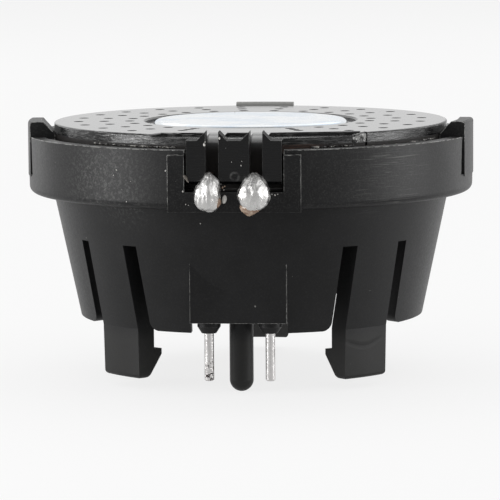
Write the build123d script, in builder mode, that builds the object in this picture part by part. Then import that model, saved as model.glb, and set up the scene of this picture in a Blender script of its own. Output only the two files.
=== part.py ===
"""Dashboard speaker: a 36 mm loudspeaker capsule clipped face down into a funnel holder for a circuit board.

Millimetres. Z is the speaker's axis and z = 0 is the upper face of the board that the funnel stands on.
The front, where the solder joints are, faces -Y. Azimuths are counted from the front, positive to the right.
"""

from build123d import *
from math import asin, atan2, cos, degrees, radians, sin, sqrt, tan
import os

os.makedirs("parts", exist_ok=True)

# ---------------------------------------------------------------- driving dimensions
# the capsule sets the size across the axis
capsule_radius = 18.0
capsule_clearance = 0.1
skirt_wall = 1.0
skirt_height = 2.8
shoulder_width = 1.1
plate_rise = 1.4  # above the shoulder
plate_thickness = 1.0
plate_edge_radius = 0.15
flat_depth = 3.0  # of the flat at the plate's front
flat_step = 0.25  # the flat is cut this far down, and the round wall goes on below it
flat_left_end = 7.1
flat_bend = 2.5  # from here the flat runs back to the right
flat_right_end = 9.9
flat_right_setback = 1.5
front_ring_height = 0.7
front_ring_width = 2.1
film_thickness = 0.1

# board interface
board_thickness = 1.6
board_play = 0.24
pin_pitch = 5.08
pin_diameter = 0.8
pin_inset = 0.75  # pin row behind the funnel's foot
pin_reach = 4.0  # below the board's upper face
pin_grip_width = 0.86  # square stretch held by the block
pin_grip_foot = 0.05  # above the board
peg_diameter = 2.0
peg_inset = 1.9  # behind the pin row
peg_reach = 5.15

# funnel
funnel_height = 10.63
funnel_neck_inset = 1.0  # neck inside the capsule's edge
funnel_narrowing = 2.25  # from neck to foot
funnel_wall = 1.1
segment_corner_radius = 0.75

# snap legs
leg_azimuths = (-45, 45, 180)
leg_width = 4.6
leg_thickness = 1.7
leg_taper = 1.6  # degrees, inward
leg_slit_width = 1.1
front_slit_widening = 0.3  # of the slits beside the pin block
leg_slit_height = 7.15
barb_depth = 0.8
barb_tip_height = 0.48
barb_ramp_height = 1.92
barb_foot = 1.0
leg_end_radius = 0.35

# ring
ledge_thickness = 0.97
ring_margin = 0.35  # above the capsule's shoulder
ring_wall = 1.05
ring_draft = 0.1
ring_lower_edge_radius = 0.6

# snap clips
clip_azimuths = (-82.5, 82.5, 180)
clip_width = 5.2
clip_slot_width = 0.75
clip_slot_floor = 0.75  # above the ledge
clip_head_height = 1.5
clip_tip_height = 0.42
clip_top_land = 1.15
clip_outer_radius = 0.3
clip_play = 0.1  # over the shoulder
clip_gap = 0.15  # beside the plate

# front pad with its notch
pad_width = 10.85
pad_face_depth = 0.05  # the flat face behind the ring's foremost point
pad_skirt = 0.1  # below the ring
pad_top_step = 0.37  # below the ring's top
notch_side_play = 0.16
notch_floor = 0.56  # above the ledge

# pin block
block_width = 8.0
block_proud = 0.75  # of the funnel's foot
block_depth = 5.45
block_clearance = 0.96  # above the board
collar_top_radius = 0.97
collar_tip_radius = 0.62
collar_straight = 0.41

# magnet system
pole_radius = 6.5
pole_thickness = 0.8
magnet_inset = 0.2  # behind the pole plate's edge
magnet_thickness = 1.9
air_gap = 0.25  # each side of the coil
coil_thickness = 0.45
coil_height = 1.8
yoke_sheet = 0.9
yoke_skirt = 0.13  # past the pole plate
yoke_proud = 0.09  # above the back plate
yoke_edge_radius = 0.5

# bore for the magnet pot, and the perforations round it
bore_lip = 1.0
bore_collar_depth = 2.1
recess_width = 0.75
recess_depth = 0.3
recess_edge_chamfer = 0.15
hole_diameter = 0.85
hole_edge_margin = 1.3  # between the recess and the first hole's centre
hole_rim_margin = 2.1  # between the last hole's centre and the plate's edge
hole_flat_margin = 2.27  # between the flat and the centre of the hole next to it
hole_row_pitch = 15.0
hole_rows_each_side = 11

# terminal wall
terminal_width = 7.78
terminal_proud = 0.9  # of the skirt
terminal_thickness = 1.75
terminal_drop = 2.4  # below the shoulder
terminal_rise = 1.16  # above the shoulder
terminal_edge_chamfer = 0.25
groove_spacing = 3.57
groove_width = 1.05
groove_depth = 1.1
groove_arc_drop = 1.65
rib_wall = 0.35  # beside the groove, behind the terminal wall
fin_width = 0.7
fin_height = 0.72
witness_slit_azimuth = 38.4
witness_slit_width = 0.22
witness_slit_depth = 0.4

# film
film_land_width = 0.25  # past the magnet pot
film_rim_width = 2.0
film_roll_rise = 0.5
film_dome_rise = 1.4

# damping cloth
cloth_thickness = 0.25
cloth_margin = 0.3

# leads and solder
lead_diameter = 0.3
lead_rise = 0.76  # above the terminal wall's foot
lead_bend_radius = 0.35
lead_bite = 0.5  # straight length held in the solder
pin_bend_radius = 0.8
solder_standoff = 0.75  # drop's axis in front of the pad
solder_left_x = -2.1
solder_left_radius = 1.07
solder_left_drop = 0.8  # below the ledge's upper face
solder_right_x = 1.66
solder_right_radius = 1.3
solder_right_drop = 1.15
solder_neck_radius = 0.3

# ---------------------------------------------------------------- radii and levels that follow
ring_inner_radius = capsule_radius + capsule_clearance
ring_outer_radius = ring_inner_radius + ring_wall
funnel_neck_radius = capsule_radius - funnel_neck_inset
funnel_foot_radius = funnel_neck_radius - funnel_narrowing
funnel_slope = funnel_narrowing / funnel_height
funnel_wall_level = funnel_wall * sqrt(1 + funnel_slope**2)  # the wall measured across the axis
plate_radius = capsule_radius - shoulder_width
flat_offset = plate_radius - flat_depth
clip_hook_radius = plate_radius + clip_gap

magnet_radius = pole_radius - magnet_inset
coil_inner_radius = pole_radius + air_gap
coil_outer_radius = coil_inner_radius + coil_thickness
yoke_radius = coil_outer_radius + air_gap + yoke_sheet
recess_radius = yoke_radius + recess_width

pin_row_offset = funnel_foot_radius - pin_inset
peg_offset = pin_row_offset - peg_inset
block_face_offset = funnel_foot_radius + block_proud
pad_face_offset = ring_outer_radius - pad_face_depth
terminal_face_offset = capsule_radius + terminal_proud
notch_width = terminal_width + 2 * notch_side_play
solder_offset = pad_face_offset + solder_standoff

barb_catch = board_thickness + board_play
leg_reach = barb_catch + barb_tip_height + barb_ramp_height

ledge_top = funnel_height + ledge_thickness
film_level = ledge_top + front_ring_height  # underside of the film's rim
skirt_foot = film_level + film_thickness
shoulder = skirt_foot + skirt_height
ring_top = shoulder + ring_margin
plate_top = shoulder + plate_rise
plate_underside = plate_top - plate_thickness
yoke_top = plate_top + yoke_proud
magnet_top = yoke_top - yoke_sheet
pole_top = magnet_top - magnet_thickness
yoke_foot = pole_top - pole_thickness - yoke_skirt

terminal_foot = shoulder - terminal_drop
terminal_top = shoulder + terminal_rise
notch_level = ledge_top + notch_floor
pin_channel_level = ledge_top - pin_diameter / 2  # the bent pins lie flush with the ledge
lead_level = terminal_foot + lead_rise
solder_top = lead_level + lead_diameter


def funnel_radius(level):
    """Outer radius of the funnel at a level."""
    return funnel_foot_radius + funnel_slope * level


def bearing(azimuth):
    """Angle about Z of an azimuth counted from the front."""
    return azimuth - 90


# ---------------------------------------------------------------- terminal pins
# Each pin comes straight up from the board, lies outward along the ledge and turns up into its solder joint.
# It is pressed square where the block holds it.
def pin_path(pin_x, solder_x):
    """Corners of a pin's centre line, from its board end to its solder end."""
    return (
        (pin_x, -pin_row_offset, -pin_reach),
        (pin_x, -pin_row_offset, pin_channel_level),
        (solder_x, -solder_offset, pin_channel_level),
        (solder_x, -solder_offset, pin_channel_level + 2 * pin_bend_radius),
    )


with BuildPart() as terminal_pin_left:
    with BuildLine():
        FilletPolyline(*pin_path(-pin_pitch / 2, solder_left_x), radius=pin_bend_radius)
    with BuildSketch(Plane((-pin_pitch / 2, -pin_row_offset, -pin_reach), z_dir=(0, 0, 1))):
        Circle(pin_diameter / 2)
    sweep()
    pin_end = terminal_pin_left.faces().sort_by(Axis.Z)[0]
    chamfer(pin_end.edges(), pin_diameter / 8)
    with BuildSketch(Plane((-pin_pitch / 2, -pin_row_offset, pin_grip_foot))):
        Rectangle(pin_grip_width, pin_grip_width)
    extrude(amount=pin_channel_level - pin_bend_radius - pin_grip_foot)
terminal_pin_left.part.label = "terminal_pin_left"

with BuildPart() as terminal_pin_right:
    with BuildLine():
        FilletPolyline(*pin_path(pin_pitch / 2, solder_right_x), radius=pin_bend_radius)
    with BuildSketch(Plane((pin_pitch / 2, -pin_row_offset, -pin_reach), z_dir=(0, 0, 1))):
        Circle(pin_diameter / 2)
    sweep()
    pin_end = terminal_pin_right.faces().sort_by(Axis.Z)[0]
    chamfer(pin_end.edges(), pin_diameter / 8)
    with BuildSketch(Plane((pin_pitch / 2, -pin_row_offset, pin_grip_foot))):
        Rectangle(pin_grip_width, pin_grip_width)
    extrude(amount=pin_channel_level - pin_bend_radius - pin_grip_foot)
terminal_pin_right.part.label = "terminal_pin_right"


# ---------------------------------------------------------------- coil leads
# Each lead leaves the capsule through a hole in its groove and drops into the solder joint.
def lead_path(side, solder_x):
    """Corners of a lead's centre line, from the film's rim to the solder joint."""
    groove_x = side * groove_spacing / 2
    rim_y = -(capsule_radius - film_rim_width + 2 * lead_diameter)
    return (
        (groove_x, rim_y, skirt_foot),
        (groove_x, rim_y, lead_level),
        (solder_x, -solder_offset, lead_level),
        (solder_x, -solder_offset, lead_level - lead_bend_radius - lead_bite),
    )


with BuildPart() as coil_lead_left:
    lead_points = lead_path(-1, solder_left_x)
    with BuildLine():
        FilletPolyline(*lead_points, radius=lead_bend_radius)
    with BuildSketch(Plane(lead_points[0], z_dir=(0, 0, 1))):
        Circle(lead_diameter / 2)
    sweep()
coil_lead_left.part.label = "coil_lead_left"

with BuildPart() as coil_lead_right:
    lead_points = lead_path(1, solder_right_x)
    with BuildLine():
        FilletPolyline(*lead_points, radius=lead_bend_radius)
    with BuildSketch(Plane(lead_points[0], z_dir=(0, 0, 1))):
        Circle(lead_diameter / 2)
    sweep()
coil_lead_right.part.label = "coil_lead_right"

# ---------------------------------------------------------------- holder
# The legs are cut from one turned ring, so that their faces keep the funnel's curve.
with BuildPart() as legs:
    foot_outer = funnel_foot_radius - tan(radians(leg_taper)) * leg_reach
    barb_tip = funnel_foot_radius - leg_thickness - barb_depth
    with BuildSketch(Plane.XZ):
        with BuildLine():
            Polyline(
                (funnel_radius(leg_slit_height), leg_slit_height),
                (funnel_foot_radius, 0),
                (foot_outer, -leg_reach),
                (foot_outer - barb_foot, -leg_reach),
                (barb_tip, -barb_catch - barb_tip_height),
                (barb_tip, -barb_catch),
                (funnel_foot_radius - leg_thickness, -barb_catch),
                (funnel_foot_radius - leg_thickness, 0),
                (funnel_radius(leg_slit_height) - leg_thickness, leg_slit_height),
                close=True,
            )
        make_face()
    revolve(axis=Axis.Z)
    with BuildSketch(Plane.XY.offset(-leg_reach)) as leg_footprints:
        for azimuth in leg_azimuths:
            with PolarLocations(funnel_foot_radius, 1, bearing(azimuth)):
                Rectangle(funnel_foot_radius, leg_width)
    extrude(amount=leg_reach + leg_slit_height, mode=Mode.INTERSECT)
    fillet(legs.edges().group_by(Axis.Z)[0], leg_end_radius)

# The clip heads are cut from a turned ring as well.
with BuildPart() as clips:
    clip_underside = shoulder + clip_play
    clip_top = clip_underside + clip_head_height
    with BuildSketch(Plane.XZ) as clip_section:
        with BuildLine():
            Polyline(
                (ring_outer_radius, notch_level),
                (ring_outer_radius, clip_top),
                (ring_outer_radius - clip_top_land, clip_top),
                (clip_hook_radius, clip_underside + clip_tip_height),
                (clip_hook_radius, clip_underside),
                (ring_inner_radius, clip_underside),
                (ring_inner_radius, notch_level),
                close=True,
            )
        make_face()
        outer_corner = clip_section.vertices().sort_by_distance((ring_outer_radius, clip_top))[0]
        fillet(outer_corner, clip_outer_radius)
    revolve(axis=Axis.Z)
    with BuildSketch(Plane.XY.offset(notch_level)):
        for azimuth in clip_azimuths:
            with PolarLocations(capsule_radius, 1, bearing(azimuth)):
                Rectangle(capsule_radius / 2, clip_width)
    extrude(amount=clip_top - notch_level, mode=Mode.INTERSECT)

with BuildPart() as holder:
    # funnel, ledge and ring as one turned section
    with BuildSketch(Plane.XZ) as shell_section:
        with BuildLine():
            Polyline(
                (funnel_foot_radius, 0),
                (funnel_neck_radius, funnel_height),
                (ring_outer_radius - ring_draft, funnel_height),
                (ring_outer_radius, ring_top),
                (ring_inner_radius, ring_top),
                (ring_inner_radius, ledge_top),
                (funnel_radius(ledge_top) - funnel_wall_level, ledge_top),
                (funnel_foot_radius - funnel_wall_level, 0),
                close=True,
            )
        make_face()
        lower_corner = (ring_outer_radius - ring_draft, funnel_height)
        fillet(shell_section.vertices().sort_by_distance(lower_corner)[0], ring_lower_edge_radius)
    revolve(axis=Axis.Z)

    # windows that free the legs, with the funnel's corners rounded beside them
    with BuildSketch(Plane.XY):
        for azimuth, toward_front in zip(leg_azimuths, (1, -1, 0)):
            widening = abs(toward_front) * front_slit_widening
            with PolarLocations(funnel_foot_radius, 1, bearing(azimuth)):
                with Locations((0, toward_front * widening / 2)):
                    Rectangle(funnel_foot_radius / 2, leg_width + 2 * leg_slit_width + widening)
    extrude(amount=leg_slit_height, mode=Mode.SUBTRACT)
    foot_edges = holder.edges().group_by(Axis.Z)[0].filter_by(GeomType.LINE)
    fillet(foot_edges, segment_corner_radius)
    add(legs.part)

    # slots that free the clips, down to just above the ledge
    with BuildSketch(Plane.XY.offset(ring_top)):
        for azimuth in clip_azimuths:
            with PolarLocations(ring_outer_radius, 1, bearing(azimuth)):
                Rectangle(3 * ring_wall, clip_width + 2 * clip_slot_width)
    extrude(amount=ledge_top + clip_slot_floor - ring_top, mode=Mode.SUBTRACT)
    add(clips.part)

    # front pad, flat across the ring
    pad_height = ring_top - funnel_height + pad_skirt - pad_top_step
    with BuildSketch(Plane.XZ.offset(pad_face_offset)):
        with Locations((0, funnel_height - pad_skirt)):
            Rectangle(pad_width, pad_height, align=(Align.CENTER, Align.MIN))
    extrude(amount=-(pad_face_offset - ring_inner_radius + ring_wall))
    with BuildSketch(Plane.XZ.offset(pad_face_offset)):
        with Locations((0, funnel_height - pad_skirt)):
            Rectangle(pad_width, 2 * pad_height, align=(Align.CENTER, Align.MIN))
    extrude(amount=ring_wall, mode=Mode.SUBTRACT)

    # pin block inside the funnel's front, open below to the board
    with BuildSketch(Plane.XY):
        with Locations((0, -block_face_offset)):
            Rectangle(block_width, block_depth, align=(Align.CENTER, Align.MIN))
    extrude(amount=ledge_top)
    with BuildSketch(Plane.XY):
        with Locations((0, -funnel_foot_radius)):
            Rectangle(block_width, 2 * block_depth)
    extrude(amount=block_clearance, mode=Mode.SUBTRACT)

    # room for the capsule above the ledge, then the notch
    with BuildSketch(Plane.XY.offset(ledge_top)):
        Circle(ring_inner_radius)
    extrude(amount=shoulder - ledge_top, mode=Mode.SUBTRACT)
    with BuildSketch(Plane.XY.offset(notch_level)):
        with Locations((0, -ring_inner_radius)):
            Rectangle(notch_width, 4 * ring_wall)
    extrude(amount=ring_top - ledge_top, mode=Mode.SUBTRACT)

    # collars round the pins, and the round-tipped peg behind them
    for side in (-1, 1):
        with BuildSketch(Plane((side * pin_pitch / 2, -pin_row_offset, block_clearance), z_dir=(0, 0, -1))):
            Circle(collar_top_radius)
        extrude(amount=collar_straight)
        collar_end = Plane((side * pin_pitch / 2, -pin_row_offset, block_clearance - collar_straight))
        with BuildSketch(collar_end):
            Circle(collar_top_radius)
        with BuildSketch(Plane((side * pin_pitch / 2, -pin_row_offset, 0))):
            Circle(collar_tip_radius)
        loft()
    with BuildSketch(Plane((0, -peg_offset, block_clearance), z_dir=(0, 0, -1))):
        Circle(peg_diameter / 2)
    extrude(amount=block_clearance + peg_reach - peg_diameter / 2)
    with Locations((0, -peg_offset, -peg_reach + peg_diameter / 2)):
        Sphere(peg_diameter / 2)

    # bores and open channels for the bent pins
    for pin_x, solder_x in ((-pin_pitch / 2, solder_left_x), (pin_pitch / 2, solder_right_x)):
        run_middle = ((pin_x + solder_x) / 2, -(pin_row_offset + solder_offset) / 2)
        with BuildSketch(Plane.XY.offset(pin_channel_level)):
            SlotCenterPoint(run_middle, (solder_x, -solder_offset), pin_diameter)
        extrude(amount=notch_level - pin_channel_level, mode=Mode.SUBTRACT)
    add(terminal_pin_left.part, mode=Mode.SUBTRACT)
    add(terminal_pin_right.part, mode=Mode.SUBTRACT)
holder.part.label = "holder"

# ---------------------------------------------------------------- capsule frame
with BuildPart() as capsule_frame:
    # skirt with its shoulder, and the raised plate with a flat at the front
    with BuildSketch(Plane.XY.offset(skirt_foot)):
        Circle(capsule_radius)
    extrude(amount=skirt_height)
    with BuildSketch(Plane.XY.offset(shoulder)):
        Circle(plate_radius)
    extrude(amount=plate_rise)
    with BuildSketch(Plane.XY.offset(plate_top)):
        with BuildLine():
            Polyline(
                (-flat_left_end, -capsule_radius),
                (-flat_left_end, -plate_radius + flat_depth / 2),
                (-flat_left_end + flat_depth / 4, -flat_offset),
                (flat_bend, -flat_offset),
                (flat_right_end, -flat_offset + flat_right_setback),
                (flat_right_end, -capsule_radius),
                close=True,
            )
        make_face()
    extrude(amount=-flat_step, mode=Mode.SUBTRACT)
    fillet(capsule_frame.edges().group_by(Axis.Z)[-1], plate_edge_radius)

    # terminal wall with two fins beside each groove, and ribs that carry the grooves back to the plate
    with BuildSketch(Plane.XZ.offset(terminal_face_offset)):
        with Locations((0, terminal_foot)):
            Rectangle(terminal_width, terminal_drop + terminal_rise, align=(Align.CENTER, Align.MIN))
    extrude(amount=-terminal_thickness)
    wall_foot_edge = capsule_frame.edges().filter_by(Axis.X).group_by(Axis.Y)[0].sort_by(Axis.Z)[0]
    chamfer(wall_foot_edge, terminal_edge_chamfer)
    with BuildSketch(Plane.XZ.offset(flat_offset)):
        with Locations((-groove_spacing / 2, shoulder), (groove_spacing / 2, shoulder)):
            Rectangle(groove_width + 2 * rib_wall, plate_rise, align=(Align.CENTER, Align.MIN))
    extrude(amount=terminal_face_offset - terminal_thickness - flat_offset)
    with BuildSketch(Plane.XZ.offset(terminal_face_offset)):
        for groove_x in (-groove_spacing / 2, groove_spacing / 2):
            for side in (-1, 1):
                inner = groove_x + side * groove_width / 2
                with BuildLine():
                    Polyline(
                        (inner, terminal_top),
                        (inner + side * fin_width, terminal_top),
                        (inner, terminal_top + fin_height),
                        close=True,
                    )
                make_face()
    extrude(amount=-terminal_thickness)

    # grooves: a quarter round from the plate down to a straight channel in the wall's face
    channel_floor = terminal_face_offset - groove_depth
    open_front = terminal_face_offset + groove_depth
    open_top = terminal_top + 2 * fin_height
    round_middle = plate_top - groove_arc_drop
    for groove_x in (-groove_spacing / 2, groove_spacing / 2):
        with BuildSketch(Plane.YZ.offset(groove_x)):
            with BuildLine():
                EllipticalCenterArc(
                    (-flat_offset, round_middle),
                    channel_floor - flat_offset,
                    groove_arc_drop,
                    start_angle=90,
                    arc_size=90,
                )
                Polyline(
                    (-channel_floor, round_middle),
                    (-channel_floor, terminal_foot),
                    (-open_front, terminal_foot),
                    (-open_front, open_top),
                    (-flat_offset, open_top),
                    (-flat_offset, plate_top),
                )
            make_face()
        extrude(amount=groove_width / 2, both=True, mode=Mode.SUBTRACT)

    # inside: wide below the shoulder, narrower under the plate
    with BuildSketch(Plane.XY.offset(skirt_foot)):
        Circle(capsule_radius - skirt_wall)
    extrude(amount=skirt_height - skirt_wall, mode=Mode.SUBTRACT)
    with BuildSketch(Plane.XY.offset(shoulder - skirt_wall)):
        Circle(plate_radius - skirt_wall)
        with Locations((0, -flat_offset + skirt_wall)):
            Rectangle(3 * plate_radius, plate_radius, align=(Align.CENTER, Align.MAX), mode=Mode.SUBTRACT)
    extrude(amount=plate_underside - shoulder + skirt_wall, mode=Mode.SUBTRACT)

    # collar and bore for the magnet pot, with the shallow recess round it
    with BuildSketch(Plane.XY.offset(plate_underside)):
        Circle(yoke_radius + bore_lip)
    extrude(amount=-bore_collar_depth)
    with BuildSketch(Plane.XY.offset(plate_top)):
        Circle(recess_radius)
    extrude(amount=-recess_depth, mode=Mode.SUBTRACT)
    top_circles = capsule_frame.edges().filter_by(GeomType.CIRCLE).group_by(Axis.Z)[-1]
    chamfer(top_circles.sort_by(SortBy.RADIUS)[0], recess_edge_chamfer)
    with BuildSketch(Plane.XY.offset(plate_top)):
        Circle(yoke_radius)
    extrude(amount=-(plate_thickness + bore_collar_depth), mode=Mode.SUBTRACT)

    # perforations in radial rows; none in front of the magnet, and shorter rows beside the flat
    first_hole = recess_radius + hole_edge_margin
    with BuildSketch(Plane.XY.offset(plate_top)):
        for side in (-1, 1):
            for row in range(1, hole_rows_each_side + 1):
                azimuth = (row + 0.5) * hole_row_pitch
                rim_hole = plate_radius - hole_rim_margin
                flat_hole = (flat_offset - hole_flat_margin) / max(cos(radians(azimuth)), 0.5)
                last_hole = min(rim_hole, flat_hole) if row == 1 else rim_hole
                for radius in (first_hole, (first_hole + last_hole) / 2, last_hole):
                    with PolarLocations(radius, 1, bearing(side * azimuth)):
                        Circle(hole_diameter / 2)
    extrude(amount=-plate_thickness, mode=Mode.SUBTRACT)

    # narrow slit down the plate's wall
    with BuildSketch(Plane.XY.offset(shoulder)):
        with PolarLocations(plate_radius, 1, bearing(witness_slit_azimuth)):
            Rectangle(2 * witness_slit_depth, witness_slit_width)
    extrude(amount=plate_rise, mode=Mode.SUBTRACT)

    add(coil_lead_left.part, mode=Mode.SUBTRACT)
    add(coil_lead_right.part, mode=Mode.SUBTRACT)
capsule_frame.part.label = "capsule_frame"

# ---------------------------------------------------------------- magnet system
with BuildPart() as yoke_cup:
    with BuildSketch(Plane.XY.offset(yoke_top)):
        Circle(yoke_radius)
    extrude(amount=yoke_foot - yoke_top)
    with BuildSketch(Plane.XY.offset(magnet_top)):
        Circle(yoke_radius - yoke_sheet)
    extrude(amount=yoke_foot - magnet_top, mode=Mode.SUBTRACT)
    fillet(yoke_cup.edges().group_by(Axis.Z)[-1], yoke_edge_radius)
yoke_cup.part.label = "yoke_cup"

with BuildPart() as magnet:
    with BuildSketch(Plane.XY.offset(pole_top)):
        Circle(magnet_radius)
    extrude(amount=magnet_thickness)
    chamfer(magnet.edges().filter_by(GeomType.CIRCLE), magnet_thickness / 12)
magnet.part.label = "magnet"

with BuildPart() as pole_plate:
    with BuildSketch(Plane.XY.offset(pole_top)):
        Circle(pole_radius)
    extrude(amount=-pole_thickness)
pole_plate.part.label = "pole_plate"

# ---------------------------------------------------------------- moving system
with BuildPart() as voice_coil:
    with BuildSketch(Plane.XY.offset(skirt_foot)):
        Circle(coil_outer_radius)
        Circle(coil_inner_radius, mode=Mode.SUBTRACT)
    extrude(amount=coil_height)
voice_coil.part.label = "voice_coil"


def film_profile(level):
    """Draws the film's section at a level: flat rim, roll, land under the coil and a dome at the centre."""
    dome_edge = coil_inner_radius
    dome_radius = (dome_edge**2 + film_dome_rise**2) / (2 * film_dome_rise)
    half_turn = asin(dome_edge / dome_radius) / 2
    dome_middle = (
        dome_radius * sin(half_turn),
        level - film_dome_rise + dome_radius * (1 - cos(half_turn)),
    )
    rim_edge = capsule_radius - film_rim_width
    land_edge = yoke_radius + film_land_width
    Line((capsule_radius, level), (rim_edge, level))
    roll_middle = ((rim_edge + land_edge) / 2, level + film_roll_rise)
    ThreePointArc((rim_edge, level), roll_middle, (land_edge, level))
    Line((land_edge, level), (dome_edge, level))
    ThreePointArc((dome_edge, level), dome_middle, (0, level - film_dome_rise))


with BuildPart() as diaphragm:
    with BuildSketch(Plane.XZ):
        with BuildLine():
            film_profile(film_level)
            film_profile(film_level + film_thickness)
            Line((capsule_radius, film_level), (capsule_radius, skirt_foot))
            apex = film_level - film_dome_rise
            Line((0, apex), (0, apex + film_thickness))
        make_face()
    revolve(axis=Axis.Z)
diaphragm.part.label = "diaphragm"

with BuildPart() as front_ring:
    with BuildSketch(Plane.XY.offset(ledge_top)):
        Circle(capsule_radius)
        Circle(capsule_radius - front_ring_width, mode=Mode.SUBTRACT)
    extrude(amount=front_ring_height)
front_ring.part.label = "front_ring"

with BuildPart() as damping_cloth:
    with BuildSketch(Plane.XY.offset(plate_underside)):
        Circle(plate_radius - skirt_wall - cloth_margin)
        with Locations((0, -flat_offset + skirt_wall + cloth_margin)):
            Rectangle(3 * plate_radius, plate_radius, align=(Align.CENTER, Align.MAX), mode=Mode.SUBTRACT)
        Circle(yoke_radius + bore_lip, mode=Mode.SUBTRACT)
    extrude(amount=-cloth_thickness)
damping_cloth.part.label = "damping_cloth"


# ---------------------------------------------------------------- solder joints
def solder_profile(centre_x, radius, drop):
    """Draws half of a drop: round below, then two equal arcs that draw in to a narrow neck."""
    belly = ledge_top - drop + radius
    narrowing = radius - solder_neck_radius
    rise = solder_top - belly
    shoulder_radius = (narrowing**2 + rise**2) / (4 * narrowing)
    turn = degrees(2 * atan2(narrowing, rise))
    CenterArc((centre_x, belly), radius, start_angle=270, arc_size=90)
    outward = JernArc((centre_x + radius, belly), (0, 1), shoulder_radius, turn)
    inward = JernArc(outward @ 1, outward % 1, shoulder_radius, -turn)
    Polyline(inward @ 1, (centre_x, solder_top), (centre_x, belly - radius))


with BuildPart() as solder_joint_left:
    with BuildSketch(Plane.XZ.offset(solder_offset)):
        with BuildLine():
            solder_profile(solder_left_x, solder_left_radius, solder_left_drop)
        make_face()
    revolve(axis=Axis((solder_left_x, -solder_offset, 0), (0, 0, 1)))
    split(bisect_by=Plane.XZ.offset(pad_face_offset), keep=Keep.TOP)
    add(terminal_pin_left.part, mode=Mode.SUBTRACT)
    add(coil_lead_left.part, mode=Mode.SUBTRACT)
solder_joint_left.part.label = "solder_joint_left"

with BuildPart() as solder_joint_right:
    with BuildSketch(Plane.XZ.offset(solder_offset)):
        with BuildLine():
            solder_profile(solder_right_x, solder_right_radius, solder_right_drop)
        make_face()
    revolve(axis=Axis((solder_right_x, -solder_offset, 0), (0, 0, 1)))
    split(bisect_by=Plane.XZ.offset(pad_face_offset), keep=Keep.TOP)
    add(terminal_pin_right.part, mode=Mode.SUBTRACT)
    add(coil_lead_right.part, mode=Mode.SUBTRACT)
solder_joint_right.part.label = "solder_joint_right"

# ---------------------------------------------------------------- one file per piece
for piece in (
    holder,
    capsule_frame,
    yoke_cup,
    magnet,
    pole_plate,
    voice_coil,
    diaphragm,
    front_ring,
    damping_cloth,
    terminal_pin_left,
    terminal_pin_right,
    coil_lead_left,
    coil_lead_right,
    solder_joint_left,
    solder_joint_right,
):
    export_step(piece.part, f"parts/{piece.part.label}.step")
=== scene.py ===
"""Looks of a 36 mm loudspeaker capsule clipped into its moulded holder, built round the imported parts."""

import math

import bpy
from mathutils import Matrix, Vector


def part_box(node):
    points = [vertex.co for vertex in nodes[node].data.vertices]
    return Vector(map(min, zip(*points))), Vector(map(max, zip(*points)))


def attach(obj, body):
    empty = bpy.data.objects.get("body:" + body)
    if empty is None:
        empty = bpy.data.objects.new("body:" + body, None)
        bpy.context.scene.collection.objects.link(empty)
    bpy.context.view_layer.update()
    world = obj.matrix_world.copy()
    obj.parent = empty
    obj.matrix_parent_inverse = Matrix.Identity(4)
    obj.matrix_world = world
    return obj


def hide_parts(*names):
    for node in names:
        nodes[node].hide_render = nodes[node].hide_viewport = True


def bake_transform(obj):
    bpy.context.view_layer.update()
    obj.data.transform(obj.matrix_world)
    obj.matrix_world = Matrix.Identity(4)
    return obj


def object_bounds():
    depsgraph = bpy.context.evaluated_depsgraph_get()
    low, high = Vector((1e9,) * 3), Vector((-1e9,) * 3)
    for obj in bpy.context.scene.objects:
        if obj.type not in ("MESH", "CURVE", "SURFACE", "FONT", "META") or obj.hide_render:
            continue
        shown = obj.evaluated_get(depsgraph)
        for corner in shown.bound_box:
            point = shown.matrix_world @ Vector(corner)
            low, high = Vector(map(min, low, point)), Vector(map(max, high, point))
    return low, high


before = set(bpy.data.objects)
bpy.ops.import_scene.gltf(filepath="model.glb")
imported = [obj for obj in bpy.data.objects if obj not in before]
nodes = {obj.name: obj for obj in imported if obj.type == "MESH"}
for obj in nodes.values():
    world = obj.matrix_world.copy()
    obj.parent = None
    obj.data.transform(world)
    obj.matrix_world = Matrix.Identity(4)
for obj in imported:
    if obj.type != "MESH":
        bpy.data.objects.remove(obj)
cad_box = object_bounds()
scene = bpy.context.scene
MM = 0.001

# ---------------------------------------------------------------- table, light and camera
# A white sweep under soft lamps at the top and both sides, in a light tent that is open and
# dimmer at the front. The camera stands 0.3 m in front, a little to the right and above.


def linear(code):
    """The linear RGBA of an sRGB hex colour."""
    parts = [int(code[i:i + 2], 16) / 255 for i in (1, 3, 5)]
    return [p / 12.92 if p <= 0.04045 else ((p + 0.055) / 1.055) ** 2.4 for p in parts] + [1.0]


def fill(tree, node, inputs):
    """Fills a node's inputs with values, outputs, or nodes, which stand for their first output in use."""
    for name, value in inputs.items():
        if isinstance(value, bpy.types.Node):
            value = next(output for output in value.outputs if output.enabled)
        if isinstance(value, bpy.types.NodeSocket):
            tree.links.new(value, node.inputs[name])
        else:
            node.inputs[name].default_value = value


def put(tree, kind, inputs=None, **settings):
    """Adds a node to a tree, with its settings and inputs."""
    node = tree.nodes.new("ShaderNode" + kind)
    for name, value in settings.items():
        setattr(node, name, value)
    fill(tree, node, inputs or {})
    return node


eye = Vector((22.04, -300.19, 39.8)) * MM
aim = Vector((-0.13, 0.0, 5.29)) * MM
camera = bpy.data.objects.new("camera", bpy.data.cameras.new("camera"))
scene.collection.objects.link(camera)
camera.data.sensor_width = 36.0
camera.data.lens = 252.1
camera.data.clip_start = 0.01
camera_tilt = math.radians(-0.4)
turn = (aim - eye).to_track_quat("-Z", "Y").to_matrix() @ Matrix.Rotation(camera_tilt, 3, "Z")
camera.matrix_world = Matrix.Translation(eye) @ turn.to_4x4()
scene.camera = camera

scene.view_settings.view_transform = "Standard"

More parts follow.
